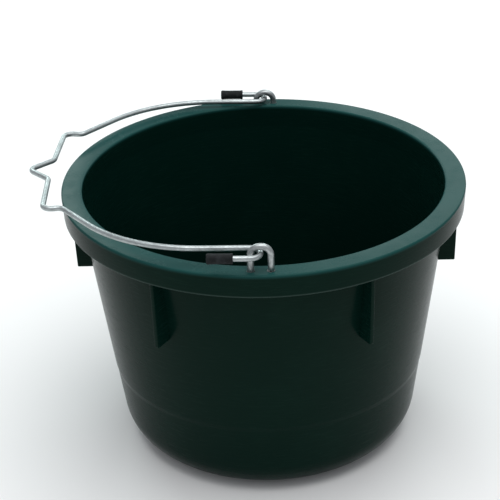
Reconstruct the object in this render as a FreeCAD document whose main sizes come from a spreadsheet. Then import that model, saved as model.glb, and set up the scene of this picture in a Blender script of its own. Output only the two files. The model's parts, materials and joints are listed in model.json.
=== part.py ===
import FreeCAD, Part
import Sketcher
import math
import os

# A round moulded feed bucket with a swinging wire bail.
# Origin: centre of the base, on the surface that the bucket stands on. +Z is up.
# The bail's eyes stand on the rim at -Y (front) and +Y (back), and the bail lies over -X.

SAME = 0.05  # lengths that differ by less are taken to be the same edge

doc = FreeCAD.newDocument("FeedBucket")
sheet = doc.addObject("Spreadsheet::Sheet", "Sizes")

DRIVING_SIZES = [
    # the moulded shell
    ("bucketHeight", 261.5, "top of the rim above the floor"),
    ("rimRadius", 190.0, "outer radius of the rim's flat top"),
    ("rimWidth", 19.5, "width of the rim's flat top"),
    ("rimThickness", 3.8, "thickness of the flat top"),
    ("skirtDepth", 22.0, "depth of the rim's turned-down skirt"),
    ("skirtThickness", 3.2, "thickness of the skirt"),
    ("skirtDraft", 1.2, "how much narrower the skirt is at its lower edge"),
    ("collarDraft", 1.3, "how much narrower the wall is at the skirt's lower edge than at the rim"),
    ("wallFootRadius", 140.9, "outer radius of the tapered wall, run down to the floor"),
    ("wallThickness", 4.0, "thickness of the wall"),
    ("floorThickness", 4.5, "thickness of the base"),
    ("baseCorner", 37.0, "outer radius of the corner between wall and base"),
    ("ledgeHeight", 81.0, "top of the small step in the wall"),
    ("ledgeRun", 5.0, "height over which the wall steps in"),
    ("ledgeStep", 0.6, "how far the wall steps in below the ledge"),
    ("padRadius", 30.0, "flat pad in the middle of the base's underside"),
    ("footInnerRadius", 95.0, "inner radius of the foot ring under the base"),
    ("recessDepth", 1.5, "depth of the recess between pad and foot ring"),
    ("rimRounding", 1.8, "rounding of the rim's upper edges"),
    ("skirtRounding", 1.0, "rounding of the skirt's lower edges"),
    # the gussets under the rim
    ("ribSpread", 58.4, "degrees between the gussets at +X and -X and the ones next to them"),
    ("ribThickness", 3.8, "thickness of a gusset"),
    ("ribInset", 5.6, "how far a gusset's outer edge lies inside the rim's, at its top"),
    ("ribDraft", 2.2, "how much further inside it lies at the gusset's lower edge"),
    ("ribDrop", 90.5, "lower edge of a gusset below the rim's top"),
    ("ribCorner", 1.2, "rounding of a gusset's outer lower corner"),
    ("ribJoin", 3.0, "where a gusset meets the skirt, above the skirt's lower edge"),
    # the wire eyes
    ("eyeInward", 0.25, "how far the eyes' planes lie inside the middle of the rim's channel"),
    ("eyeRod", 6.0, "diameter of an eye's rod"),
    ("eyeSpan", 17.4, "distance between the legs of an eye, centre to centre"),
    ("eyeCrown", 1.0, "length of the straight piece between an eye's two bends"),
    ("eyeRaised", 24.0, "centreline height of an eye above the rim when pulled right up"),
    ("frontLift", 1.0, "how much higher the front eye can go than where it rests"),
    ("legPlay", 1.0, "how much wider a leg's hole is than the rod"),
    ("washerGap", 0.25, "room between a washer and the sides of the rim's channel"),
    ("washerPlay", 0.4, "how much wider a washer's bore is than the rod"),
    ("washerThickness", 1.2, "thickness of a washer"),
    ("washerMargin", 0.3, "how far a washer stands out beyond its nut's flats"),
    ("nutThickness", 4.0, "thickness of a thin nut"),
    ("threadEnd", 0.8, "how far a leg stands out of its nut"),
    ("stopClearance", 0.3, "gap left between washer and rim when an eye is pulled up"),
    # the bail
    ("bailWire", 5.0, "diameter of the bail's wire"),
    ("frontSlack", 0.9, "gap above the front hook in its eye"),
    ("backSlack", 0.6, "gap above the back hook in its eye"),
    ("bailRise", 0.7, "degrees by which the resting bail rises towards its grip"),
    ("hookGap", 20.0, "distance between a hook's two arms, centre to centre"),
    ("hookBend", 9.5, "centreline radius of a hook's two bends"),
    ("hookLength", 44.0, "reach of a hook's returned arm"),
    ("shoulderInset", 76.0, "where the lines of arm and shoulder meet, inside the rim's edge"),
    ("shoulderBend", 125.0, "centreline radius of the bail's shoulder"),
    ("jogInset", 10.5, "where shoulder and grip meet, inside the rim's edge"),
    ("jogHalfWidth", 85.5, "distance of that corner from the bail's middle"),
    ("gripOutset", 6.5, "the grip's corner, outside the rim's edge"),
    ("gripHalfWidth", 89.0, "distance of that corner from the bail's middle"),
    ("notchOutset", 9.2, "where the hanging notch begins, outside the rim's edge"),
    ("notchHalfWidth", 22.0, "half the width of the hanging notch"),
    ("notchTip", 30.4, "the point of the hanging notch, outside the rim's edge"),
    ("gripBend", 8.0, "centreline radius of the grip's bends"),
    # the caps on the hooks' ends
    ("capWall", 2.2, "thickness of a cap round the wire"),
    ("capClearance", 0.3, "gap between the back cap and the rim that it comes down on"),
    ("capLength", 22.5, "length of a cap"),
    ("capEnd", 1.5, "thickness of a cap's closed end"),
    ("capRounding", 1.2, "rounding of a cap's closed end"),
]
for row, (alias, number, note) in enumerate(DRIVING_SIZES, start=1):
    sheet.set(f"A{row}", note)
    sheet.set(f"B{row}", str(number))
    sheet.setAlias(f"B{row}", alias)
doc.recompute()


def value(expression):
    """The present value of an expression on the sheet's sizes."""
    return float(sheet.evalExpression(expression))


# ---- places that several pieces share ----

rim_top = "Sizes.bucketHeight"
rim_under = "(Sizes.bucketHeight - Sizes.rimThickness)"
skirt_low = "(Sizes.bucketHeight - Sizes.skirtDepth)"
skirt_edge = "(Sizes.rimRadius - Sizes.skirtDraft)"
mouth_radius = "(Sizes.rimRadius - Sizes.rimWidth)"
wall_top_radius = "(Sizes.rimRadius - Sizes.rimWidth + Sizes.wallThickness)"
wall_skirt_radius = f"({wall_top_radius} - Sizes.collarDraft)"
channel_width = f"({skirt_edge} - Sizes.skirtThickness - {wall_top_radius})"
eye_radius = f"({wall_top_radius} + {channel_width} / 2 - Sizes.eyeInward)"
rib_low = "(Sizes.bucketHeight - Sizes.ribDrop)"
rib_top = "(Sizes.bucketHeight - Sizes.rimThickness / 2)"
rib_low_reach = "(Sizes.rimRadius - Sizes.ribInset - Sizes.ribDraft)"
washer_diameter = f"({channel_width} - 2 * Sizes.washerGap)"
nut_flats = f"({washer_diameter} - 2 * Sizes.washerMargin)"
cap_diameter = "(Sizes.bailWire + 2 * Sizes.capWall)"
rods_apart = "((Sizes.eyeRod + Sizes.bailWire) / 2)"
back_pivot = f"({cap_diameter} / 2 + Sizes.capClearance)"
back_eye_height = f"({back_pivot} + {rods_apart} + Sizes.backSlack)"
front_eye_height = "(Sizes.eyeRaised - Sizes.frontLift)"
front_pivot = f"({front_eye_height} - {rods_apart} - Sizes.frontSlack)"


def wall_radius(height):
    """Outer radius of the wall at a height below the skirt."""
    return (f"(Sizes.wallFootRadius + ({wall_skirt_radius} - Sizes.wallFootRadius)"
            f" * ({height}) / {skirt_low})")


# ---- helpers ----

def origin_plane(body, role):
    return next(item for item in body.Origin.OriginFeatures if item.Role == role)


def new_body(label):
    body = doc.addObject("PartDesign::Body", label)
    body.Label = label
    return body


def new_sketch(body, name, role, offset=None):
    """A sketch on one of the body's own planes, moved along the plane's normal."""
    sketch = body.newObject("Sketcher::SketchObject", name)
    sketch.AttachmentSupport = (origin_plane(body, role), [""])
    sketch.MapMode = "FlatFace"
    if offset:
        sketch.setExpression("AttachmentOffset.Base.z", offset)
    return sketch


def bind(sketch, kind, parts, expression):
    """Adds a dimension that follows an expression on the sheet's sizes."""
    index = sketch.addConstraint(Sketcher.Constraint(kind, *parts, value(expression)))
    sketch.setExpression(f"Constraints[{index}]", expression)


def place_point(sketch, geometry, end, across, up):
    """Puts a point of the sketch at a place given by two expressions."""
    for kind, axis, expression in (("DistanceX", -2, across), ("DistanceY", -1, up)):
        if expression == "0":
            sketch.addConstraint(Sketcher.Constraint("PointOnObject", geometry, end, axis))
        else:
            bind(sketch, kind, (-1, 1, geometry, end), expression)


def point_at(corner):
    return FreeCAD.Vector(value(corner[0]), value(corner[1]), 0)


def draw_outline(sketch, corners):
    """A closed outline of straight lines through corners given as expressions."""
    points = [point_at(corner) for corner in corners]
    count = len(points)
    for index, start in enumerate(points):
        sketch.addGeometry(Part.LineSegment(start, points[(index + 1) % count]), False)
    for index, corner in enumerate(corners):
        before = (index - 1) % count
        sketch.addConstraint(Sketcher.Constraint("Coincident", before, 2, index, 1))
        place_point(sketch, index, 1, *corner)


def draw_circle(sketch, across, up, diameter):
    centre = point_at((across, up))
    circle = Part.Circle(centre, FreeCAD.Vector(0, 0, 1), value(diameter) / 2)
    index = sketch.addGeometry(circle, False)
    place_point(sketch, index, 3, across, up)
    bind(sketch, "Diameter", (index,), diameter)


def draw_bent_path(sketch, corners, bends):
    """An open path of straight runs, with a tangent arc at each inner corner."""
    points = [point_at(corner) for corner in corners]
    runs = []
    arcs = []
    start = points[0]
    for index, bend in enumerate(bends, start=1):
        corner = points[index]
        before = (points[index - 1] - corner).normalize()
        after = (points[index + 1] - corner).normalize()
        half_angle = before.getAngle(after) / 2
        radius = value(bend)
        reach = radius / math.tan(half_angle)
        centre = corner + (before + after).normalize() * (radius / math.sin(half_angle))
        middle = centre + (corner - centre).normalize() * radius
        enter = corner + before * reach
        leave = corner + after * reach
        runs.append(sketch.addGeometry(Part.LineSegment(start, enter), False))
        arcs.append(sketch.addGeometry(Part.Arc(enter, middle, leave), False))
        start = leave
        turns_left = before.cross(after).z < 0
        arcs[-1] = (arcs[-1], 1 if turns_left else 2, 2 if turns_left else 1)
    runs.append(sketch.addGeometry(Part.LineSegment(start, points[-1]), False))
    place_point(sketch, runs[0], 1, *corners[0])
    place_point(sketch, runs[-1], 2, *corners[-1])
    for index, (arc, first, last) in enumerate(arcs):
        corner = sketch.addGeometry(Part.Point(points[index + 1]), True)
        place_point(sketch, corner, 1, *corners[index + 1])
        sketch.addConstraint(Sketcher.Constraint("PointOnObject", corner, 1, runs[index]))
        sketch.addConstraint(Sketcher.Constraint("PointOnObject", corner, 1, runs[index + 1]))
        sketch.addConstraint(Sketcher.Constraint("Tangent", runs[index], 2, arc, first))
        sketch.addConstraint(Sketcher.Constraint("Tangent", arc, last, runs[index + 1], 1))
        bind(sketch, "Radius", (arc,), bends[index])


def turn(body, name, corners):
    """A solid of revolution about the body's Z axis, from corners given as (radius, height)."""
    sketch = new_sketch(body, f"{name}Profile", "XZ_Plane")
    draw_outline(sketch, corners)
    solid = body.newObject("PartDesign::Revolution", name)
    solid.Profile = sketch
    solid.ReferenceAxis = (sketch, ["V_Axis"])
    solid.Angle = 360
    sketch.Visibility = False
    doc.recompute()
    return solid


def bend_rod(body, name, corners, bends, diameter, path_plane, end_plane, end_offset, end_centre):
    """A round rod swept along a bent path."""
    path = new_sketch(body, f"{name}Path", path_plane)
    draw_bent_path(path, corners, bends)
    section = new_sketch(body, f"{name}Section", end_plane, end_offset)
    draw_circle(section, *end_centre, diameter)
    doc.recompute()
    rod = body.newObject("PartDesign::AdditivePipe", name)
    rod.Profile = section
    rod.Spine = (path, [])
    doc.recompute()
    return rod


def round_edges(body, name, edges, radius):
    """Rounds edges of the body's last feature."""
    base = body.Tip
    fillet = body.newObject("PartDesign::Fillet", name)
    fillet.Base = (base, edges)
    fillet.setExpression("Radius", radius)
    doc.recompute()
    return fillet


def ring_edges(shape, radius, height):
    """Names of the circular edges about the Z axis with this radius and height."""
    found = []
    radius, height = value(radius), value(height)
    for number, edge in enumerate(shape.Edges, start=1):
        curve = edge.Curve
        if not isinstance(curve, Part.Circle) or abs(curve.Axis.z) < 0.999:
            continue
        centre = curve.Center
        if math.hypot(centre.x, centre.y, curve.Radius - radius, centre.z - height) < SAME:
            found.append(f"Edge{number}")
    return found


# ---- the moulded shell: base, tapered wall, box-section rim and gussets in one piece ----

def make_shell():
    body = new_body("bucket_shell")
    ledge_low = "(Sizes.ledgeHeight - Sizes.ledgeRun)"
    foot_radius = "(Sizes.wallFootRadius - Sizes.ledgeStep)"
    floor_radius = f"({wall_radius('Sizes.floorThickness')} - Sizes.wallThickness)"
    turn(body, "Bowl", [
        ("0", "0"),
        ("Sizes.padRadius", "0"),
        ("Sizes.padRadius + Sizes.recessDepth", "Sizes.recessDepth"),
        ("Sizes.footInnerRadius - Sizes.recessDepth", "Sizes.recessDepth"),
        ("Sizes.footInnerRadius", "0"),
        (foot_radius, "0"),
        (f"{wall_radius(ledge_low)} - Sizes.ledgeStep", ledge_low),
        (wall_radius("Sizes.ledgeHeight"), "Sizes.ledgeHeight"),
        (wall_skirt_radius, skirt_low),
        (wall_top_radius, rim_under),
        ("Sizes.rimRadius - Sizes.skirtThickness", rim_under),
        (f"{skirt_edge} - Sizes.skirtThickness", skirt_low),
        (skirt_edge, skirt_low),
        ("Sizes.rimRadius", rim_top),
        (mouth_radius, rim_top),
        (f"{wall_skirt_radius} - Sizes.wallThickness", skirt_low),
        (floor_radius, "Sizes.floorThickness"),
        ("0", "Sizes.floorThickness"),
    ])
    outside = ring_edges(body.Tip.Shape, foot_radius, "0")
    round_edges(body, "OuterCorner", outside, "Sizes.baseCorner")
    inside = ring_edges(body.Tip.Shape, floor_radius, "Sizes.floorThickness")
    round_edges(body, "InnerCorner", inside, "Sizes.baseCorner - Sizes.wallThickness")
    cut_leg_holes(body)
    add_gussets(body)
    top = ring_edges(body.Tip.Shape, "Sizes.rimRadius", rim_top)
    top += ring_edges(body.Tip.Shape, mouth_radius, rim_top)
    round_edges(body, "RimRounding", top, "Sizes.rimRounding")
    hem = ring_edges(body.Tip.Shape, skirt_edge, skirt_low)
    hem += ring_edges(body.Tip.Shape, f"{skirt_edge} - Sizes.skirtThickness", skirt_low)
    round_edges(body, "SkirtRounding", hem, "Sizes.skirtRounding")
    return body


def cut_leg_holes(body):
    plan = new_sketch(body, "LegHolePlan", "XY_Plane", rim_top)
    diameter = "Sizes.eyeRod + Sizes.legPlay"
    for side in ("-", ""):
        for end in ("-", ""):
            draw_circle(plan, f"{side}Sizes.eyeSpan / 2", f"{end}{eye_radius}", diameter)
    solid_volume = body.Tip.Shape.Volume
    holes = body.newObject("PartDesign::Pocket", "LegHoles")
    holes.Profile = plan
    holes.setExpression("Length", "Sizes.rimThickness + Sizes.rimRounding")
    doc.recompute()
    if holes.Shape.Volume >= solid_volume:
        raise RuntimeError("the leg holes cut nothing")


def add_gussets(body):
    """Radial webs that run up inside the skirt: three on each half, one of them at the side."""
    ribs = [
        add_gusset(body, "SideRib", "0"),
        add_gusset(body, "LeftRib", "Sizes.ribSpread"),
        add_gusset(body, "RightRib", "-Sizes.ribSpread"),
    ]
    halves = body.newObject("PartDesign::PolarPattern", "Ribs")
    halves.Originals = ribs
    halves.Axis = (origin_plane(body, "Z_Axis"), [""])
    halves.Angle = 360
    halves.Occurrences = 2
    body.Tip = halves
    doc.recompute()
    tips = []
    for number, edge in enumerate(halves.Shape.Edges, start=1):
        middle = edge.CenterOfMass
        at_reach = abs(math.hypot(middle.x, middle.y) - value(rib_low_reach)) < SAME
        across = abs(edge.Length - value("Sizes.ribThickness")) < SAME
        if at_reach and across and abs(middle.z - value(rib_low)) < SAME:
            tips.append(f"Edge{number}")
    round_edges(body, "RibCorners", tips, "Sizes.ribCorner")


def add_gusset(body, name, angle):
    """One web, in a plane turned about the bucket's axis."""
    skirt_middle = "(Sizes.rimRadius - Sizes.skirtThickness / 2)"
    join = f"{skirt_low} + Sizes.ribJoin"
    plan = new_sketch(body, f"{name}Profile", "XZ_Plane")
    plan.AttachmentOffset.Rotation = FreeCAD.Rotation(FreeCAD.Vector(0, 1, 0), 1)
    plan.setExpression("AttachmentOffset.Rotation.Angle", angle)
    draw_outline(plan, [
        (f"{wall_radius(rib_low)} - Sizes.wallThickness / 2", rib_low),
        (rib_low_reach, rib_low),
        ("Sizes.rimRadius - Sizes.ribInset", join),
        (skirt_middle, join),
        (skirt_middle, rib_top),
        (f"{wall_top_radius} - Sizes.wallThickness / 2", rib_top),
        (f"{wall_skirt_radius} - Sizes.wallThickness / 2", skirt_low),
    ])
    rib = body.newObject("PartDesign::Pad", name)
    rib.Profile = plan
    rib.Midplane = True
    rib.setExpression("Length", "Sizes.ribThickness")
    doc.recompute()
    return rib


# ---- a wire eye: an upside-down U whose legs slide in the rim, with a washer and a nut on each ----

def make_eye(name, height, end_sign):
    body = new_body(f"{name}_eye")
    washer_top = "(Sizes.eyeRaised + Sizes.rimThickness + Sizes.stopClearance)"
    washer_low = f"({washer_top} + Sizes.washerThickness)"
    nut_low = f"({washer_low} + Sizes.nutThickness)"
    leg_end = f"-({nut_low} + Sizes.threadEnd)"
    bend = "((Sizes.eyeSpan - Sizes.eyeCrown) / 2)"
    bend_rod(
        body, "Eye",
        [("-Sizes.eyeSpan / 2", leg_end), ("-Sizes.eyeSpan / 2", "0"),
         ("Sizes.eyeSpan / 2", "0"), ("Sizes.eyeSpan / 2", leg_end)],
        [bend, bend], "Sizes.eyeRod", "XZ_Plane", "XY_Plane", leg_end, ("-Sizes.eyeSpan / 2", "0"),
    )
    middle = FreeCAD.Vector(0, end_sign * value(eye_radius), value(rim_top) + value(height))
    body.Placement.Base = middle
    pieces = [body]
    for side, side_sign in (("left", -1), ("right", 1)):
        leg = middle + FreeCAD.Vector(side_sign * value("Sizes.eyeSpan / 2"), 0, 0)
        washer = make_washer(f"{name}_{side}_washer")
        washer.Placement.Base = leg - FreeCAD.Vector(0, 0, value(washer_low))
        nut = make_nut(f"{name}_{side}_nut")
        nut.Placement.Base = leg - FreeCAD.Vector(0, 0, value(nut_low))
        pieces += [washer, nut]
    return pieces


def make_washer(label):
    body = new_body(label)
    bore = "(Sizes.eyeRod + Sizes.washerPlay) / 2"
    turn(body, "Disc", [
        (bore, "0"),
        (f"{washer_diameter} / 2", "0"),
        (f"{washer_diameter} / 2", "Sizes.washerThickness"),
        (bore, "Sizes.washerThickness"),
    ])
    return body


def make_nut(label):
    """A thin hexagon nut, its corners bevelled at both ends, with a flat towards the wall."""
    hexagon = doc.addObject("Part::Prism", f"{label}_hexagon")
    hexagon.Polygon = 6
    hexagon.setExpression("Circumradius", f"{nut_flats} / sqrt(3)")
    hexagon.setExpression("Height", "Sizes.nutThickness")
    blank = doc.addObject("Part::Cylinder", f"{label}_blank")
    blank.setExpression("Radius", f"{nut_flats} / sqrt(3)")
    blank.setExpression("Height", "Sizes.nutThickness")
    bevel = doc.addObject("Part::Chamfer", f"{label}_bevel")
    bevel.Base = blank
    doc.recompute()
    rims = [number for number, edge in enumerate(blank.Shape.Edges, start=1)
            if isinstance(edge.Curve, Part.Circle)]
    width = value(f"{nut_flats} * (1 / sqrt(3) - 1 / 2)")
    bevel.Edges = [(number, width, width / 2) for number in rims]
    outside = doc.addObject("Part::MultiCommon", f"{label}_outside")
    outside.Shapes = [hexagon, bevel]
    bore = doc.addObject("Part::Cylinder", f"{label}_bore")
    bore.setExpression("Radius", "Sizes.eyeRod / 2")
    bore.setExpression("Height", "Sizes.nutThickness")
    nut = doc.addObject("Part::Cut", label)
    nut.Label = label
    nut.Base = outside
    nut.Tool = bore
    doc.recompute()
    return nut


# ---- the bail: one bent wire, from the end of one hook to the end of the other ----

def bail_frame():
    """Middle of the line through both hooks, +Y along it to the back, -X out to the grip."""
    front = value(front_pivot)
    back = value(back_pivot)
    middle = FreeCAD.Vector(0, 0, value(rim_top) + (front + back) / 2)
    slope = math.degrees(math.asin((back - front) / (2 * value(eye_radius))))
    lean = FreeCAD.Rotation(FreeCAD.Vector(1, 0, 0), slope)
    rise = FreeCAD.Rotation(FreeCAD.Vector(0, 1, 0), value("Sizes.bailRise"))
    return FreeCAD.Placement(middle, lean.multiply(rise))


def make_bail():
    body = new_body("bail_handle")
    arm = f"{eye_radius} - Sizes.hookGap / 2"
    hook = f"{eye_radius} + Sizes.hookGap / 2"
    half = [
        ("-Sizes.hookLength", hook),
        ("0", hook),
        ("0", arm),
        ("Sizes.shoulderInset - Sizes.rimRadius", arm),
        ("Sizes.jogInset - Sizes.rimRadius", "Sizes.jogHalfWidth"),
        ("-Sizes.rimRadius - Sizes.gripOutset", "Sizes.gripHalfWidth"),
        ("-Sizes.rimRadius - Sizes.notchOutset", "Sizes.notchHalfWidth"),
    ]
    tip = [("-Sizes.rimRadius - Sizes.notchTip", "0")]
    other_half = [(across, f"-({along})") for across, along in reversed(half)]
    bends = ["Sizes.hookBend"] * 2 + ["Sizes.shoulderBend"] + ["Sizes.gripBend"] * 3
    bend_rod(
        body, "Wire",
        half + tip + other_half,
        bends + ["Sizes.gripBend"] + bends[::-1],
        "Sizes.bailWire", "XY_Plane", "YZ_Plane", "-Sizes.hookLength", (hook, "0"),
    )
    body.Placement = bail_frame()
    return body


def make_cap(label, end_sign):
    """A rubber cap on the returned end of a hook, open towards the eye."""
    body = new_body(label)
    turn(body, "Cap", [
        ("Sizes.bailWire / 2", "0"),
        (f"{cap_diameter} / 2", "0"),
        (f"{cap_diameter} / 2", "Sizes.capLength"),
        ("0", "Sizes.capLength"),
        ("0", "Sizes.capLength - Sizes.capEnd"),
        ("Sizes.bailWire / 2", "Sizes.capLength - Sizes.capEnd"),
    ])
    end = ring_edges(body.Tip.Shape, f"{cap_diameter} / 2", "Sizes.capLength")
    round_edges(body, "CapRounding", end, "Sizes.capRounding")
    mouth = value("Sizes.hookLength + Sizes.capEnd - Sizes.capLength")
    along = end_sign * value(f"{eye_radius} + Sizes.hookGap / 2")
    outwards = FreeCAD.Rotation(FreeCAD.Vector(0, 1, 0), -90)
    seat = FreeCAD.Placement(FreeCAD.Vector(-mouth, along, 0), outwards)
    body.Placement = bail_frame().multiply(seat)
    return body


nodes = [make_shell()]
nodes += make_eye("front", front_eye_height, -1)
nodes += make_eye("back", back_eye_height, 1)
nodes += [make_bail(), make_cap("front_hook_cap", -1), make_cap("back_hook_cap", 1)]
doc.recompute()

for item in doc.Objects:
    if "Invalid" in item.State or "Error" in item.State:
        raise RuntimeError(f"{item.Label} failed: {item.State}")
for node in nodes:
    if node.Shape.isNull() or not node.Shape.isValid() or not node.Shape.Solids:
        raise RuntimeError(f"{node.Label} has no valid solid")

os.makedirs("parts", exist_ok=True)
for node in nodes:
    node.Shape.exportStep(f"parts/{node.Label}.step")
    box = node.Shape.BoundBox
    print(f"{node.Label}: {node.Shape.Volume / 1000:.2f} cm3, "
          f"x {box.XMin:.1f} to {box.XMax:.1f}, y {box.YMin:.1f} to {box.YMax:.1f}, "
          f"z {box.ZMin:.1f} to {box.ZMax:.1f}")
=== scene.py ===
import json
import math
import bpy
import bmesh
from mathutils import Matrix, Vector


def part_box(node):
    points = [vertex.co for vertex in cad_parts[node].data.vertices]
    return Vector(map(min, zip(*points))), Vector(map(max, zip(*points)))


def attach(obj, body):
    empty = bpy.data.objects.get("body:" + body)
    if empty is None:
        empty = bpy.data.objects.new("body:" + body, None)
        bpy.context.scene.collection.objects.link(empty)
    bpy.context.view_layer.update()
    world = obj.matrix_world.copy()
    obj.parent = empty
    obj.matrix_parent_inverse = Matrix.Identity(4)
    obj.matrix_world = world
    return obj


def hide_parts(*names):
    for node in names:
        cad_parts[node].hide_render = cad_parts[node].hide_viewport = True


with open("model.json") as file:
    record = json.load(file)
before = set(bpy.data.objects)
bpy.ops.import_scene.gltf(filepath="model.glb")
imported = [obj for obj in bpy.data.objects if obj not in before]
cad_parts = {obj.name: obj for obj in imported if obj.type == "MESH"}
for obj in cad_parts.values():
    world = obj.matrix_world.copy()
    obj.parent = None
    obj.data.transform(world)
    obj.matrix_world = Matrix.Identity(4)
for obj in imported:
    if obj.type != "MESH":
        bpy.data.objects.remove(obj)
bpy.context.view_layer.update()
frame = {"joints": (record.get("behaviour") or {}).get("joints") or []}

mm = 0.001
fullTurn = 2 * math.pi


def newMesh(name, bm):
    mesh = bpy.data.meshes.new(name)
    bm.to_mesh(mesh)
    bm.free()
    return mesh


def newObject(name, data):
    obj = bpy.data.objects.new(name, data)
    bpy.context.scene.collection.objects.link(obj)
    return obj


def dropObject(obj):
    data = obj.data
    bpy.data.objects.remove(obj)
    if isinstance(data, bpy.types.Mesh):
        bpy.data.meshes.remove(data)


def bakeModifiers(obj):
    # the evaluated mesh takes the modifiers' place
    graph = bpy.context.evaluated_depsgraph_get()
    graph.update()
    mesh = bpy.data.meshes.new_from_object(obj.evaluated_get(graph))
    obj.modifiers.clear()
    obj.data = mesh
    return obj


def smooth(obj, sharpAngle=35):
    mesh = obj.data
    mesh.polygons.foreach_set("use_smooth", [True] * len(mesh.polygons))
    mesh.set_sharp_from_angle(angle=math.radians(sharpAngle))


def finishPiece(obj, body, slotName, *nodes):
    obj.data.update()
    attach(obj, body)
    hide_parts(*nodes)
    print("made", obj.name, len(obj.data.polygons), "faces")


def roundedLine(corners, arcStep=9, longest=None):
    # corners are (x, y, rounding); each rounded corner becomes an arc of short steps
    line = []
    for index, (x, y, radius) in enumerate(corners):
        here = Vector((x, y))
        if not radius:
            line.append(here)
            continue
        before = (Vector(corners[index - 1][:2]) - here).normalized()
        after = (Vector(corners[(index + 1) % len(corners)][:2]) - here).normalized()
        halfAngle = before.angle(after) / 2
        centre = here + (before + after).normalized() * radius / math.sin(halfAngle)
        start = here + before * radius / math.tan(halfAngle) - centre
        sweep = start.angle_signed(here + after * radius / math.tan(halfAngle) - centre)
        steps = max(2, round(abs(math.degrees(sweep)) / arcStep))
        for step in range(steps + 1):
            turned = Matrix.Rotation(-sweep * step / steps, 2) @ start
            line.append(centre + turned)
    if longest:
        line = splitLongRuns(line, longest)
    return line


def splitLongRuns(line, longest):
    points = []
    for here, there in zip(line, line[1:]):
        pieces = max(1, math.ceil((there - here).length / longest))
        points += [here.lerp(there, step / pieces) for step in range(pieces)]
    return points + [line[-1]]


def lineMesh(name, points):
    # a bare chain of points, as (x, y, z)
    bm = bmesh.new()
    verts = [bm.verts.new(point) for point in points]
    for first, second in zip(verts, verts[1:]):
        bm.edges.new((first, second))
    return newMesh(name, bm)


class TreeBuilder:
    # wraps a geometry node tree so that its nodes read as one line each
    def __init__(self, name, inputs):
        self.tree = bpy.data.node_groups.new(name, "GeometryNodeTree")
        self.tree.interface.new_socket("Geometry", in_out="INPUT", socket_type="NodeSocketGeometry")
        for label, kind, value in inputs:
            socket = self.tree.interface.new_socket(
                label, in_out="INPUT", socket_type="NodeSocket" + kind)
            if value is not None:
                socket.default_value = value
        self.tree.interface.new_socket("Geometry", in_out="OUTPUT", socket_type="NodeSocketGeometry")
        self.source = self.tree.nodes.new("NodeGroupInput").outputs
        self.sink = self.tree.nodes.new("NodeGroupOutput").inputs

    def add(self, kind, settings=None, **links):
        node = self.tree.nodes.new(kind)
        for key, value in (settings or {}).items():
            setattr(node, key, value)
        for key, value in links.items():
            self.feed(node.inputs[key.replace("_", " ")], value)
        return node

    def feed(self, socket, value):
        if isinstance(value, bpy.types.NodeSocket):
            self.tree.links.new(value, socket)
        else:
            socket.default_value = value

    def math(self, operation, first, second=0.0):
        node = self.tree.nodes.new("ShaderNodeMath")
        node.operation = operation
        self.feed(node.inputs[0], first)
        self.feed(node.inputs[1], second)
        return node.outputs[0]

    def finish(self, geometry):
        real = self.add("GeometryNodeRealizeInstances", Geometry=geometry)
        painted = self.add("GeometryNodeSetMaterial", Geometry=real.outputs[0],
                           Material=self.source["Material"])
        self.tree.links.new(painted.outputs[0], self.sink[0])
        return self.tree


def runTree(obj, tree, **values):
    modifier = obj.modifiers.new(tree.name, "NODES")
    modifier.node_group = tree
    wanted = {key.replace("_", " "): value for key, value in values.items()}
    for socket in tree.interface.items_tree:
        if socket.in_out == "INPUT" and socket.name in wanted:
            modifier[socket.identifier] = wanted.pop(socket.name)
    if wanted:
        raise ValueError(f"{tree.name} has no input {sorted(wanted)}")
    return bakeModifiers(obj)


def turnedTree():
    # spins a chain of points (radius, 0, height) about Z into a closed skin
    build = TreeBuilder("turnedPiece", [
        ("Segments", "Int", 64), ("Points", "Int", 2), ("Material", "Material", None)])
    columns = build.math("ADD", build.source["Segments"], 1.0)
    grid = build.add("GeometryNodeMeshGrid", Vertices_X=columns, Vertices_Y=build.source["Points"])
    index = build.add("GeometryNodeInputIndex").outputs[0]
    column = build.math("FLOOR", build.math("DIVIDE", index, build.source["Points"]))
    row = build.math("SUBTRACT", index, build.math("MULTIPLY", column, build.source["Points"]))
    place = build.add("GeometryNodeInputPosition").outputs[0]
    sample = build.add("GeometryNodeSampleIndex", {"data_type": "FLOAT_VECTOR", "domain": "POINT"},
                       Geometry=build.source["Geometry"])
    build.tree.links.new(place, sample.inputs["Value"])
    build.tree.links.new(row, sample.inputs["Index"])
    outline = build.add("ShaderNodeSeparateXYZ", Vector=sample.outputs[0]).outputs
    angle = build.math("MULTIPLY", build.math("DIVIDE", column, build.source["Segments"]), fullTurn)
    spun = build.add("ShaderNodeCombineXYZ", Z=outline["Z"],
                     X=build.math("MULTIPLY", outline["X"], build.math("COSINE", angle)),
                     Y=build.math("MULTIPLY", outline["X"], build.math("SINE", angle)))
    moved = build.add("GeometryNodeSetPosition", Geometry=grid.outputs["Mesh"], Position=spun.outputs[0])
    joined = build.add("GeometryNodeMergeByDistance", Geometry=moved.outputs[0], Distance=0.5e-6)
    return build.finish(joined.outputs[0])


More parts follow.
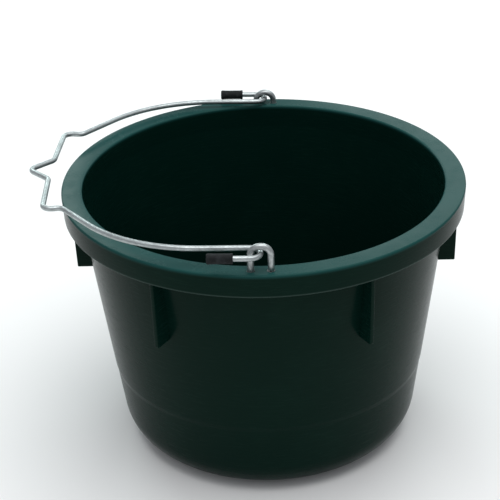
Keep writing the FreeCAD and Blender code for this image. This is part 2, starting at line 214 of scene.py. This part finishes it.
def gussetTree():
    # sets one gusset round the bucket: three on each half, the middle one at the side
    build = TreeBuilder("gussetRing", [
        ("Count", "Int", 6), ("Spread", "Float", 1.0), ("Material", "Material", None)])
    spots = build.add("GeometryNodePoints", Count=build.source["Count"])
    index = build.add("GeometryNodeInputIndex").outputs[0]
    half = build.math("FLOOR", build.math("DIVIDE", index, 3.0))
    step = build.math("SUBTRACT", build.math("MODULO", index, 3.0), 1.0)
    angle = build.math("ADD", build.math("MULTIPLY", half, math.pi),
                       build.math("MULTIPLY", step, build.source["Spread"]))
    turn = build.add("ShaderNodeCombineXYZ", Z=angle)
    toRotation = build.add("FunctionNodeEulerToRotation", Euler=turn.outputs[0])
    copies = build.add("GeometryNodeInstanceOnPoints", Points=spots.outputs[0],
                       Instance=build.source["Geometry"], Rotation=toRotation.outputs[0])
    return build.finish(copies.outputs[0])


def rodTree():
    # bends a round rod along a chain of corners; thread turns are cut where "threaded" is 1
    build = TreeBuilder("bentRod", [
        ("Radius", "Float", 0.0025), ("Sides", "Int", 24), ("Thread Pitch", "Float", 0.001),
        ("Thread Depth", "Float", 0.0), ("Material", "Material", None)])

    def attribute(name, kind="FLOAT"):
        node = build.add("GeometryNodeInputNamedAttribute", {"data_type": kind}, Name=name)
        return node.outputs["Attribute"]

    route = build.add("GeometryNodeMeshToCurve", Mesh=build.source["Geometry"])
    bent = build.add("GeometryNodeFilletCurve", {"mode": "POLY"}, Curve=route.outputs[0],
                     Radius=attribute("bend"), Limit_Radius=True)
    build.feed(bent.inputs["Count"], attribute("bendSteps", "INT"))
    split = build.add("GeometryNodeSubdivideCurve", Curve=bent.outputs[0], Cuts=attribute("cuts", "INT"))
    along = build.add("GeometryNodeSplineParameter").outputs["Length"]
    keep = build.add("GeometryNodeStoreNamedAttribute", {"data_type": "FLOAT", "domain": "POINT"},
                     Geometry=split.outputs[0], Name="along", Value=along)
    ring = build.add("GeometryNodeCurvePrimitiveCircle", Resolution=build.source["Sides"],
                     Radius=build.source["Radius"])
    ringPlace = build.add("GeometryNodeInputPosition").outputs[0]
    ringKeep = build.add("GeometryNodeStoreNamedAttribute",
                         {"data_type": "FLOAT_VECTOR", "domain": "POINT"},
                         Geometry=ring.outputs["Curve"], Name="ringPlace", Value=ringPlace)
    skin = build.add("GeometryNodeCurveToMesh", Curve=keep.outputs[0], Profile_Curve=ringKeep.outputs[0],
                     Fill_Caps=True)
    flat = build.add("ShaderNodeSeparateXYZ", Vector=attribute("ringPlace", "FLOAT_VECTOR")).outputs
    straight = build.add("ShaderNodeCombineXYZ", X=flat["X"], Y=flat["Y"], Z=attribute("along"))
    marked = build.add("GeometryNodeStoreNamedAttribute", {"data_type": "FLOAT_VECTOR", "domain": "POINT"},
                       Geometry=skin.outputs[0], Name="rodPlace", Value=straight.outputs[0])
    aroundShare = build.math("DIVIDE", build.math("ARCTAN2", flat["Y"], flat["X"]), fullTurn)
    pitches = build.math("DIVIDE", attribute("along"), build.source["Thread Pitch"])
    turns = build.math("ADD", pitches, aroundShare)
    wave = build.math("PINGPONG", turns, 0.5)
    depth = build.math("MULTIPLY", build.math("MULTIPLY", wave, 2.0), build.source["Thread Depth"])
    inwards = build.math("MULTIPLY", build.math("MULTIPLY", depth, attribute("threaded")), -1.0)
    normal = build.add("GeometryNodeInputNormal").outputs[0]
    push = build.add("ShaderNodeVectorMath", {"operation": "SCALE"}, Scale=inwards)
    build.tree.links.new(normal, push.inputs[0])
    cut = build.add("GeometryNodeSetPosition", Geometry=marked.outputs[0], Offset=push.outputs[0])
    return build.finish(cut.outputs[0])


turned = turnedTree()
gussets = gussetTree()
rods = rodTree()


def turnPiece(name, line, segments, material):
    obj = newObject(name, lineMesh(name + "Outline", [(point.x, 0, point.y) for point in line]))
    runTree(obj, turned, Segments=segments, Points=len(line), Material=material)
    return obj


def bendRod(name, corners, radius, sides, material, pitch=1 * mm, depth=0.0):
    # corners are (place, bend radius, bend steps, cuts in the run that follows, threaded or not)
    mesh = lineMesh(name + "Route", [corner[0] for corner in corners])
    kinds = (("bend", "FLOAT"), ("bendSteps", "INT"), ("cuts", "INT"), ("threaded", "FLOAT"))
    for column, (label, kind) in enumerate(kinds, start=1):
        values = [corner[column] for corner in corners]
        mesh.attributes.new(label, kind, "POINT").data.foreach_set("value", values)
    obj = newObject(name, mesh)
    runTree(obj, rods, Radius=radius, Sides=sides, Thread_Pitch=pitch, Thread_Depth=depth,
            Material=material)
    return obj


class Finish:
    # a material whose nodes are added one line each
    def __init__(self, name, color, roughness, **sockets):
        self.material = bpy.data.materials.new(name)
        self.material.use_nodes = True
        self.tree = self.material.node_tree
        self.shader = self.tree.nodes["Principled BSDF"]
        self.shader.inputs["Base Color"].default_value = (*color, 1)
        self.shader.inputs["Roughness"].default_value = roughness
        for label, value in sockets.items():
            self.shader.inputs[label.replace("_", " ")].default_value = value

    def add(self, kind, **links):
        node = self.tree.nodes.new(kind)
        for key, value in links.items():
            self.feed(node.inputs[key.replace("_", " ")], value)
        return node

    def feed(self, socket, value):
        if isinstance(value, bpy.types.NodeSocket):
            self.tree.links.new(value, socket)
        else:
            socket.default_value = value

    def place(self):
        return self.tree.nodes.new("ShaderNodeTexCoord").outputs["Object"]

    def attribute(self, name):
        node = self.tree.nodes.new("ShaderNodeAttribute")
        node.attribute_name = name
        return node.outputs["Vector"]

    def stretched(self, vector, scale):
        return self.add("ShaderNodeMapping", Vector=vector, Scale=scale).outputs[0]

    def noise(self, vector, scale, detail=3.0, roughness=0.55):
        node = self.add("ShaderNodeTexNoise", Vector=vector, Scale=scale, Detail=detail, Roughness=roughness)
        return node.outputs["Fac"]

    def ramp(self, value, low, high, start=0.0, end=1.0):
        node = self.add("ShaderNodeMapRange", Value=value)
        for label, number in (("From Min", low), ("From Max", high), ("To Min", start), ("To Max", end)):
            node.inputs[label].default_value = number
        return node.outputs[0]

    def math(self, operation, first, second=0.0):
        node = self.tree.nodes.new("ShaderNodeMath")
        node.operation = operation
        self.feed(node.inputs[0], first)
        self.feed(node.inputs[1], second)
        return node.outputs[0]

    def blend(self, share, first, second):
        node = self.tree.nodes.new("ShaderNodeMix")
        node.data_type = "RGBA"
        self.feed(node.inputs[0], share)
        for socket, color in ((node.inputs[6], first), (node.inputs[7], second)):
            self.feed(socket, color if isinstance(color, bpy.types.NodeSocket) else (*color, 1))
        return node.outputs[2]

    def color(self, value):
        self.tree.links.new(value, self.shader.inputs["Base Color"])

    def roughness(self, value):
        self.tree.links.new(value, self.shader.inputs["Roughness"])

    def bump(self, height, distance, strength=1.0, under=None):
        node = self.add("ShaderNodeBump", Height=height, Distance=distance, Strength=strength)
        if under:
            self.tree.links.new(under, node.inputs["Normal"])
        self.tree.links.new(node.outputs[0], self.shader.inputs["Normal"])
        return node.outputs[0]


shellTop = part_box("bucket_shell")[1].z

shellLook = {
    "green": (0.0012, 0.0125, 0.0092),
    "scuffed": (0.0050, 0.0240, 0.0175),
    # painted highlight: lighter teal laid on the rim's top face in place of the light and reflection it
    # catches
    "rimTopLight": (0.0120, 0.0620, 0.0580),
    # painted highlight: pale line on the skirt's lower outer edge, standing in for the reflection on its
    # rounding
    "hemHighlight": (0.0300, 0.0520, 0.0450),
    "gloss": 0.24,
    "specular": 0.045,
    "tint": (1.0, 0.93, 0.70),
    "rimTopLightFrom": shellTop - 0.0035,
    "rimTopLightTo": shellTop - 0.0005,
    "hemHighlightFrom": shellTop - 0.0200,
    "hemHighlightTo": shellTop - 0.0214,
    "hemOutside": (0.1862, 0.1872),
    "cloudScale": 14.0,
    "rimTopLightCloud": (0.2, 0.8, 0.75, 1.0),
    "scuffStretch": (60.0, 60.0, 900.0),
    "scuffRange": (0.35, 0.75),
    "speckScale": 420.0,
    "speckDepth": 0.00004,
    "wornRange": (0.24, 0.42),
    "wornShare": 0.3,
    "waveScale": 9.0,
    "waveDepth": 0.0012,
}


def shellPlastic():
    # dark green polyethylene: shiny, with soft waves, fine scuffs round the wall, a painted highlight
    # (lighter teal patches) on the rim's top face and a painted highlight line along the skirt's lower edge
    look = shellLook
    finish = Finish("shellPlastic", look["green"], look["gloss"], Specular_IOR_Level=look["specular"],
                    Specular_Tint=(*look["tint"], 1))
    place = finish.place()
    axes = finish.add("ShaderNodeSeparateXYZ", Vector=place).outputs
    height = axes["Z"]
    fromAxis = finish.math("SQRT", finish.math("ADD", finish.math("MULTIPLY", axes["X"], axes["X"]),
                                               finish.math("MULTIPLY", axes["Y"], axes["Y"])))
    # painted highlight mask: a thin band at the skirt's lower outer edge
    hem = finish.math("MULTIPLY", finish.ramp(height, look["hemHighlightFrom"], look["hemHighlightTo"]),
                      finish.ramp(fromAxis, *look["hemOutside"]))
    cloud = finish.noise(place, look["cloudScale"], 4.0)
    scuffs = finish.noise(finish.stretched(place, look["scuffStretch"]), 1.0, 5.0, 0.7)
    specks = finish.noise(place, look["speckScale"], 2.0)
    worn = finish.ramp(finish.math("MULTIPLY", cloud, scuffs), *look["wornRange"])
    # painted highlight on the rim top: lighter colour in the top few millimetres, broken into patches by the
    # cloud noise
    rimTopLight = finish.math("MULTIPLY", finish.ramp(height, look["rimTopLightFrom"], look["rimTopLightTo"]),
                        finish.ramp(cloud, *look["rimTopLightCloud"]))
    scuffed = finish.math("MULTIPLY", worn, look["wornShare"])
    plain = finish.blend(scuffed, look["green"], look["scuffed"])
    withRimTopLight = finish.blend(rimTopLight, plain, look["rimTopLight"])
    finish.color(finish.blend(hem, withRimTopLight, look["hemHighlight"]))
    finish.roughness(finish.ramp(scuffs, *look["scuffRange"], look["gloss"] - 0.05, look["gloss"] + 0.10))
    soft = finish.bump(finish.noise(place, look["waveScale"], 2.0), look["waveDepth"], 0.30)
    finish.bump(specks, look["speckDepth"], 0.25, soft)
    return finish.material


zincCoat = {
    "patchScale": 900.0,
    "patchStretch": (1.0, 1.0, 0.35),
    "patchDepth": 0.00015,
    "streakScale": 2600.0,
    "streakStretch": (1.0, 1.0, 0.02),
    "streakDepth": 0.00006,
    "cloudScale": 60.0,
    "toneRange": (0.45, 0.75),
}


def galvanised(name, dark, light, roughness):
    # zinc coat: grey patches of two tones and fine streaks along the rod
    coat = zincCoat
    finish = Finish(name, light, roughness, Metallic=1.0)
    rod = finish.attribute("rodPlace")
    patches = finish.noise(finish.stretched(rod, coat["patchStretch"]), coat["patchScale"], 3.0)
    streaks = finish.noise(finish.stretched(rod, coat["streakStretch"]), coat["streakScale"], 2.0)
    clouds = finish.noise(finish.place(), coat["cloudScale"], 3.0)
    mixed = finish.math("MULTIPLY", finish.math("ADD", patches, clouds), 0.6)
    share = finish.ramp(mixed, *coat["toneRange"])
    finish.color(finish.blend(share, dark, light))
    finish.roughness(finish.ramp(patches, 0.3, 0.7, roughness + 0.12, roughness - 0.08))
    ground = finish.bump(streaks, coat["streakDepth"], 0.35)
    finish.bump(patches, coat["patchDepth"], 0.30, ground)
    return finish.material


def zincPlate():
    finish = Finish("zincPlate", (0.47, 0.48, 0.47), 0.34, Metallic=1.0)
    place = finish.place()
    bloom = finish.noise(place, 700.0, 4.0)
    finish.color(finish.blend(finish.ramp(bloom, 0.4, 0.7), (0.36, 0.37, 0.36), (0.52, 0.53, 0.52)))
    finish.roughness(finish.ramp(bloom, 0.3, 0.7, 0.45, 0.28))
    finish.bump(finish.noise(place, 2600.0, 2.0), 0.00003, 0.4)
    return finish.material


def capRubber():
    finish = Finish("capRubber", (0.011, 0.013, 0.014), 0.62, Specular_IOR_Level=0.12)
    place = finish.place()
    dust = finish.noise(place, 260.0, 4.0)
    finish.color(finish.blend(finish.ramp(dust, 0.45, 0.75), (0.008, 0.0095, 0.010), (0.024, 0.027, 0.029)))
    finish.roughness(finish.ramp(dust, 0.3, 0.7, 0.55, 0.72))
    finish.bump(finish.noise(place, 2400.0, 3.0), 0.00005, 0.5)
    return finish.material


shellMaterial = shellPlastic()
bailMaterial = galvanised("bailZinc", (0.30, 0.33, 0.33), (0.48, 0.52, 0.52), 0.42)
eyeMaterial = galvanised("eyeZinc", (0.24, 0.26, 0.26), (0.46, 0.49, 0.49), 0.40)
zincMaterial = zincPlate()
rubberMaterial = capRubber()
print("materials made")


shell = {
    "rimTop": shellTop,
    "rimRadius": 190.0 * mm,
    "rimThickness": 3.8 * mm,
    "skirtDepth": 22.0 * mm,
    "skirtThickness": 3.2 * mm,
    "skirtDraft": 1.2 * mm,
    "wallTop": 174.5 * mm,
    "wallSkirt": 173.2 * mm,
    "wallFoot": 140.9 * mm,
    "wall": 4.0 * mm,
    "floor": 4.5 * mm,
    "corner": 37.0 * mm,
    "ledge": 81.0 * mm,
    "ledgeRun": 5.0 * mm,
    "ledgeStep": 0.6 * mm,
    "pad": 30.0 * mm,
    "foot": 95.0 * mm,
    "recess": 1.5 * mm,
    "ribs": 6,
    "ribSpread": math.radians(58.4),
    "ribThickness": 3.8 * mm,
    "ribReach": 184.4 * mm,
    "ribDraft": 2.2 * mm,
    "ribDrop": 90.5 * mm,
    "ribCorner": 1.2 * mm,
    "ribJoin": 3.0 * mm,
    "ribBevel": 0.5 * mm,
    "nearby": 0.1 * mm,
    "legHole": 3.5 * mm,
    "holeDepth": 16.0 * mm,
    "holeSides": 32,
    "footRounding": 0.8 * mm,
    "ledgeRounding": 0.9 * mm,
    "hemBend": 4.0 * mm,
    "channelRounding": 1.2 * mm,
    "hemRounding": 0.9 * mm,
    "rimRounding": 1.8 * mm,
    "floorFlare": 0.6 * mm,
    "segments": 240,
    "arcStep": 8,
    "longestRun": 14.0 * mm,
}


def wallRadius(height):
    share = height / (shell["rimTop"] - shell["skirtDepth"])
    return shell["wallFoot"] + (shell["wallSkirt"] - shell["wallFoot"]) * share


def shellOutline():
    s = shell
    top = s["rimTop"]
    under = top - s["rimThickness"]
    hem = top - s["skirtDepth"]
    skirt = s["rimRadius"] - s["skirtDraft"]
    ledgeLow = s["ledge"] - s["ledgeRun"]
    return [
        (0, 0, 0),
        (s["pad"], 0, s["footRounding"]),
        (s["pad"] + s["recess"], s["recess"], s["footRounding"]),
        (s["foot"] - s["recess"], s["recess"], s["footRounding"]),
        (s["foot"], 0, s["footRounding"]),
        (s["wallFoot"] - s["ledgeStep"], 0, s["corner"]),
        (wallRadius(ledgeLow) - s["ledgeStep"], ledgeLow, s["ledgeRounding"]),
        (wallRadius(s["ledge"]), s["ledge"], s["ledgeRounding"]),
        (s["wallSkirt"], hem, s["hemBend"]),
        (s["wallTop"], under, s["channelRounding"]),
        (s["rimRadius"] - s["skirtThickness"], under, s["channelRounding"]),
        (skirt - s["skirtThickness"], hem, s["hemRounding"]),
        (skirt, hem, s["hemRounding"]),
        (s["rimRadius"], top, s["rimRounding"]),
        (s["wallTop"] - s["wall"], top, s["rimRounding"]),
        (s["wallSkirt"] - s["wall"], hem, s["hemBend"]),
        (s["wallFoot"] + s["floorFlare"] - s["wall"], s["floor"], s["corner"] - s["wall"]),
        (0, s["floor"], 0),
    ]


def makeGusset():
    # a radial web whose outer edge leans in towards its lower end, with bevelled outer corners
    s = shell
    low = s["rimTop"] - s["ribDrop"]
    hem = s["rimTop"] - s["skirtDepth"]
    joinHeight = hem + s["ribJoin"]
    skirtMiddle = s["rimRadius"] - s["skirtThickness"] / 2
    ribTop = s["rimTop"] - s["rimThickness"] / 2
    inside = s["wall"] / 2
    line = roundedLine([
        (wallRadius(low) - inside, low, 0),
        (s["ribReach"] - s["ribDraft"], low, s["ribCorner"]),
        (s["ribReach"], joinHeight, 0),
        (skirtMiddle, joinHeight, 0),
        (skirtMiddle, ribTop, 0),
        (s["wallTop"] - inside, ribTop, 0),
        (s["wallSkirt"] - inside, hem, 0),
    ])
    bm = bmesh.new()
    sides = []
    for side in (-1, 1):
        half = s["ribThickness"] / 2
        sides.append([bm.verts.new((p.x, side * half, p.y)) for p in line])
    bm.faces.new(sides[0])
    bm.faces.new(sides[1][::-1])
    for index in range(len(line)):
        other = (index + 1) % len(line)
        bm.faces.new((sides[0][other], sides[0][index], sides[1][index], sides[1][other]))
    bmesh.ops.recalc_face_normals(bm, faces=bm.faces)
    edges = [e for e in bm.edges if abs(e.verts[0].co.y - e.verts[1].co.y) < 1e-9]
    tip = s["ribReach"] - s["ribDraft"] - s["ribCorner"] - s["nearby"]
    outer = [e for e in edges if all(v.co.x > tip or v.co.z < low + s["nearby"] for v in e.verts)]
    bmesh.ops.bevel(bm, geom=outer, offset=s["ribBevel"], segments=3, profile=0.5, affect="EDGES")
    return newObject("gusset", newMesh("gusset", bm))


def makeShell():
    outline = roundedLine(shellOutline(), shell["arcStep"], shell["longestRun"])
    obj = turnPiece("bucketShell", outline, shell["segments"], shellMaterial)
    gusset = makeGusset()
    runTree(gusset, gussets, Count=shell["ribs"], Spread=shell["ribSpread"],
            Material=shellMaterial)
    legs = newObject("legHoles", legHoleMesh())
    for other, operation in ((gusset, "UNION"), (legs, "DIFFERENCE")):
        cut = obj.modifiers.new(operation.lower(), "BOOLEAN")
        cut.operation = operation
        cut.object = other
        cut.solver = "EXACT"
    bakeModifiers(obj)
    dropObject(gusset)
    dropObject(legs)
    smooth(obj, 32)
    finishPiece(obj, "bucket", "shell_plastic", "bucket_shell")
    return obj


def legHoleMesh():
    # four round cutters, one on each leg's line
    bm = bmesh.new()
    top = shell["rimTop"]
    for name in ("front_eye", "back_eye"):
        low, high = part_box(name)
        middle = (low + high) / 2
        half = (high.x - low.x) / 2 - eye["rod"]
        for side in (-1, 1):
            at = Matrix.Translation((side * half, middle.y, top))
            bmesh.ops.create_cone(bm, cap_ends=True, segments=shell["holeSides"],
                                  radius1=shell["legHole"], radius2=shell["legHole"],
                                  depth=shell["holeDepth"], matrix=at)
    return newMesh("legHoles", bm)


eye = {
    "rod": 3.0 * mm,
    "threadLength": 11.0 * mm,
    "threadPitch": 1.0 * mm,
    "threadDepth": 0.35 * mm,
    "cutsPerTurn": 10,
    "halfCrown": 0.5 * mm,
    "bendSteps": 18,
    "sides": 32,
}

makeShell()


def makeEye(name, body, node):
    low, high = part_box(node)
    half = (high.x - low.x) / 2 - eye["rod"]
    y = (low.y + high.y) / 2
    top = high.z - eye["rod"]
    thread = low.z + eye["threadLength"]
    steps = round(eye["threadLength"] / eye["threadPitch"] * eye["cutsPerTurn"])
    bend = half - eye["halfCrown"]
    corners = [
        (Vector((-half, y, low.z)), 0, 0, steps, 1.0),
        (Vector((-half, y, thread)), 0, 0, 2, 0.0),
        (Vector((-half, y, top)), bend, eye["bendSteps"], 0, 0.0),
        (Vector((half, y, top)), bend, eye["bendSteps"], 2, 0.0),
        (Vector((half, y, thread)), 0, 0, steps, 1.0),
        (Vector((half, y, low.z)), 0, 0, 0, 1.0),
    ]
    obj = bendRod(name, corners, eye["rod"], eye["sides"], eyeMaterial, eye["threadPitch"],
                  eye["threadDepth"])
    smooth(obj, 50)
    finishPiece(obj, body, "eye_rod", node)


makeEye("frontEye", "front_eye", "front_eye")
makeEye("backEye", "back_eye", "back_eye")


washer = {"bore": 3.2 * mm, "rounding": 0.3 * mm, "arcStep": 22, "segments": 48}


def makeWasher(name, body, node):
    low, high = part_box(node)
    middle = (low + high) / 2
    radius = (high.x - low.x) / 2
    r = washer["rounding"]
    tall = high.z - low.z
    corners = [(washer["bore"], 0, 0), (radius, 0, r), (radius, tall, r), (washer["bore"], tall, 0)]
    line = roundedLine(corners, washer["arcStep"])
    obj = turnPiece(name, line + [line[0]], washer["segments"], zincMaterial)
    obj.data.transform(Matrix.Translation((middle.x, middle.y, low.z)))
    smooth(obj, 40)
    finishPiece(obj, body, "fastener_zinc", node)


nut = {
    "bore": 3.0 * mm,
    "boreLead": 0.5 * mm,
    "cornerDrop": 0.45 * mm,
    "faceShare": 0.98,
    "edgeDrop": 0.05 * mm,
    "steps": 72,
}


def makeNut(name, body, node):
    # rings about the axis: bore, lead-in, flat, bevelled corners and hexagon side
    low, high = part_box(node)
    middle = (low + high) / 2
    tall = high.z - low.z
    flat = (high.y - low.y) / 2
    bm = bmesh.new()
    rings = []
    for step in range(nut["steps"]):
        angle = fullTurn * step / nut["steps"]
        fromFlat = (angle + math.pi / 2) % (math.pi / 3)
        side = flat / math.cos(min(fromFlat, math.pi / 3 - fromFlat))
        drop = (side - flat) / (flat / math.cos(math.pi / 6) - flat) * nut["cornerDrop"]
        face = flat * nut["faceShare"]
        rings.append([(r * math.cos(angle), r * math.sin(angle), z) for r, z in (
            (nut["bore"], nut["boreLead"]), (nut["bore"], tall - nut["boreLead"]),
            (nut["bore"] + nut["boreLead"], tall), (face, tall), (side, tall - drop - nut["edgeDrop"]),
            (side, drop + nut["edgeDrop"]), (face, 0), (nut["bore"] + nut["boreLead"], 0))])
    verts = [[bm.verts.new(point) for point in ring] for ring in rings]
    for index, ring in enumerate(verts):
        following = verts[(index + 1) % len(verts)]
        for row in range(len(ring)):
            nextRow = (row + 1) % len(ring)
            bm.faces.new((ring[row], following[row], following[nextRow], ring[nextRow]))
    bmesh.ops.recalc_face_normals(bm, faces=bm.faces)
    bm.transform(Matrix.Translation((middle.x, middle.y, low.z)))
    obj = newObject(name, newMesh(name, bm))
    obj.data.materials.append(zincMaterial)
    smooth(obj, 28)
    finishPiece(obj, body, "fastener_zinc", node)


for end in ("front", "back"):
    for side in ("left", "right"):
        makeWasher(f"{end}{side.title()}Washer", f"{end}_eye", f"{end}_{side}_washer")
        makeNut(f"{end}{side.title()}Nut", f"{end}_eye", f"{end}_{side}_nut")


bail = {
    "wire": 2.5 * mm,
    "hookGap": 20.0 * mm,
    "hookBend": 9.5 * mm,
    "hookLength": 44.0 * mm,
    "shoulderReach": 114.0 * mm,
    "shoulderBend": 125.0 * mm,
    "jog": (179.5 * mm, 85.5 * mm),
    "grip": (196.5 * mm, 89.0 * mm),
    "notch": (199.2 * mm, 22.0 * mm),
    "notchTip": 220.4 * mm,
    "gripBend": 8.0 * mm,
    "rise": 0.7,
}


def bailPlace():
    # the hinge's line, with the bail's own rise towards the grip
    joint = next(j for j in frame["joints"] if j["name"] == "bail_swing")
    axis = Vector(joint["axis"])
    lean = Vector((0, 1, 0)).rotation_difference(axis).to_matrix().to_4x4()
    rise = Matrix.Rotation(math.radians(bail["rise"]), 4, "Y")
    return Matrix.Translation(joint["pos_m"]) @ lean @ rise


def makeBail():
    b = bail
    pivot = (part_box("front_eye")[0].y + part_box("front_eye")[1].y) / -2
    arm = pivot - b["hookGap"] / 2
    hook = pivot + b["hookGap"] / 2
    half = [
        ((b["hookLength"], hook), 0, 0),
        ((0, hook), b["hookBend"], 14),
        ((0, arm), b["hookBend"], 14),
        ((b["shoulderReach"], arm), b["shoulderBend"], 30),
        (b["jog"], b["gripBend"], 10),
        (b["grip"], b["gripBend"], 12),
        (b["notch"], b["gripBend"], 10),
    ]
    tip = [((b["notchTip"], 0), b["gripBend"], 12)]
    other = [((reach, -along), bend, steps) for (reach, along), bend, steps in reversed(half)]
    corners = [(Vector((-reach, along, 0)), bend, steps, 3, 0.0)
               for (reach, along), bend, steps in half + tip + other]
    obj = bendRod("bailHandle", corners, b["wire"], 28, bailMaterial)
    obj.data.transform(bailPlace())
    smooth(obj, 50)
    finishPiece(obj, "bail", "bail_wire", "bail_handle")


makeBail()


cap = {
    "radius": 4.7 * mm,
    "waist": 4.5 * mm,
    "lip": 1.6 * mm,
    "length": 22.5 * mm,
    "endRounding": 1.2 * mm,
    "boreDepth": 3.0 * mm,
    "mouthEdge": 0.3 * mm,
    "lipEdge": 0.5 * mm,
    "lipFoot": 0.4 * mm,
    "lipSlope": 0.6 * mm,
    "waistShare": 0.7,
    "waistBend": 4.0 * mm,
    "crownRun": 2.0 * mm,
    "crownBend": 3.0 * mm,
    "closedEnd": 1.5 * mm,
}


def makeCap(name, node, side):
    c = cap
    bore = bail["wire"]
    line = roundedLine([
        (bore, c["boreDepth"], 0),
        (bore, 0, c["mouthEdge"]),
        (c["radius"], 0, c["lipEdge"]),
        (c["radius"], c["lip"], c["lipFoot"]),
        (c["waist"], c["lip"] + c["lipSlope"], c["lipSlope"]),
        (c["waist"], c["length"] * c["waistShare"], c["waistBend"]),
        (c["radius"], c["length"] - c["crownRun"], c["crownBend"]),
        (c["radius"], c["length"], c["endRounding"]),
        (0, c["length"], 0),
    ], 15)
    obj = turnPiece(name, line, 48, rubberMaterial)
    pivot = (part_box("front_eye")[0].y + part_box("front_eye")[1].y) / -2
    mouth = bail["hookLength"] + c["closedEnd"] - c["length"]
    along = side * (pivot + bail["hookGap"] / 2)
    seat = Matrix.Translation((-mouth, along, 0)) @ Matrix.Rotation(math.radians(-90), 4, "Y")
    obj.data.transform(bailPlace() @ seat)
    smooth(obj, 45)
    finishPiece(obj, "bail", "cap_rubber", node)


makeCap("frontHookCap", "front_hook_cap", -1)
makeCap("backHookCap", "back_hook_cap", 1)


view = {
    "place": (0.03259, -1.41563, 0.94608),
    "aim": (-0.01365, -0.03135, 0.20162),
    "roll": 1.999,
    "lens": 120.07,
    "sensor": 36,
    "floorHalf": 6.0,
    "sky": (0.93, 0.95, 1.0),
    "skyStrength": 0.55,
}


def addCamera():
    camera = bpy.data.cameras.new("viewCamera")
    camera.lens = view["lens"]
    camera.sensor_width = view["sensor"]
    obj = newObject("viewCamera", camera)
    aim = (Vector(view["aim"]) - Vector(view["place"])).to_track_quat("-Z", "Y")
    roll = Matrix.Rotation(math.radians(view["roll"]), 4, "Z")
    obj.matrix_world = Matrix.Translation(view["place"]) @ aim.to_matrix().to_4x4() @ roll.inverted()
    bpy.context.scene.camera = obj


def addFloor():
    bm = bmesh.new()
    bmesh.ops.create_grid(bm, x_segments=1, y_segments=1, size=view["floorHalf"])
    floor = newObject("floor", newMesh("floor", bm))
    paper = Finish("floorPaper", (0.86, 0.86, 0.85), 0.9, Specular_IOR_Level=0.1)
    floor.data.materials.append(paper.material)


def addLight(name, place, aim, size, power, color=(1, 1, 1)):
    lamp = bpy.data.lights.new(name, "AREA")
    lamp.shape = "RECTANGLE"
    lamp.size, lamp.size_y = size
    lamp.energy = power
    lamp.color = color
    obj = newObject(name, lamp)
    toAim = (Vector(aim) - Vector(place)).to_track_quat("-Z", "Y")
    obj.matrix_world = Matrix.Translation(place) @ toAim.to_matrix().to_4x4()


def addWorld():
    world = bpy.data.worlds.new("studio")
    world.use_nodes = True
    background = world.node_tree.nodes["Background"]
    background.inputs["Color"].default_value = (*view["sky"], 1)
    background.inputs["Strength"].default_value = view["skyStrength"]
    bpy.context.scene.world = world


lights = {
    "overhead": {"place": (0.2, -0.3, 2.4), "aim": (0, 0, 0.1), "size": (2.4, 2.0), "power": 42},
    "backRight": {"place": (0.75, 1.9, 1.35), "aim": (0.05, -0.05, 0.26), "size": (1.5, 1.0),
                  "power": 11, "color": (0.86, 1.0, 0.98)},
    "backLeft": {"place": (-1.0, 1.95, 1.25), "aim": (-0.1, -0.05, 0.26), "size": (1.2, 0.8),
                 "power": 13, "color": (0.86, 1.0, 0.98)},
}

addCamera()
addFloor()
addWorld()
for name, light in lights.items():
    addLight(name, **light)
bpy.context.scene.view_settings.view_transform = "Standard"
print("stage set")
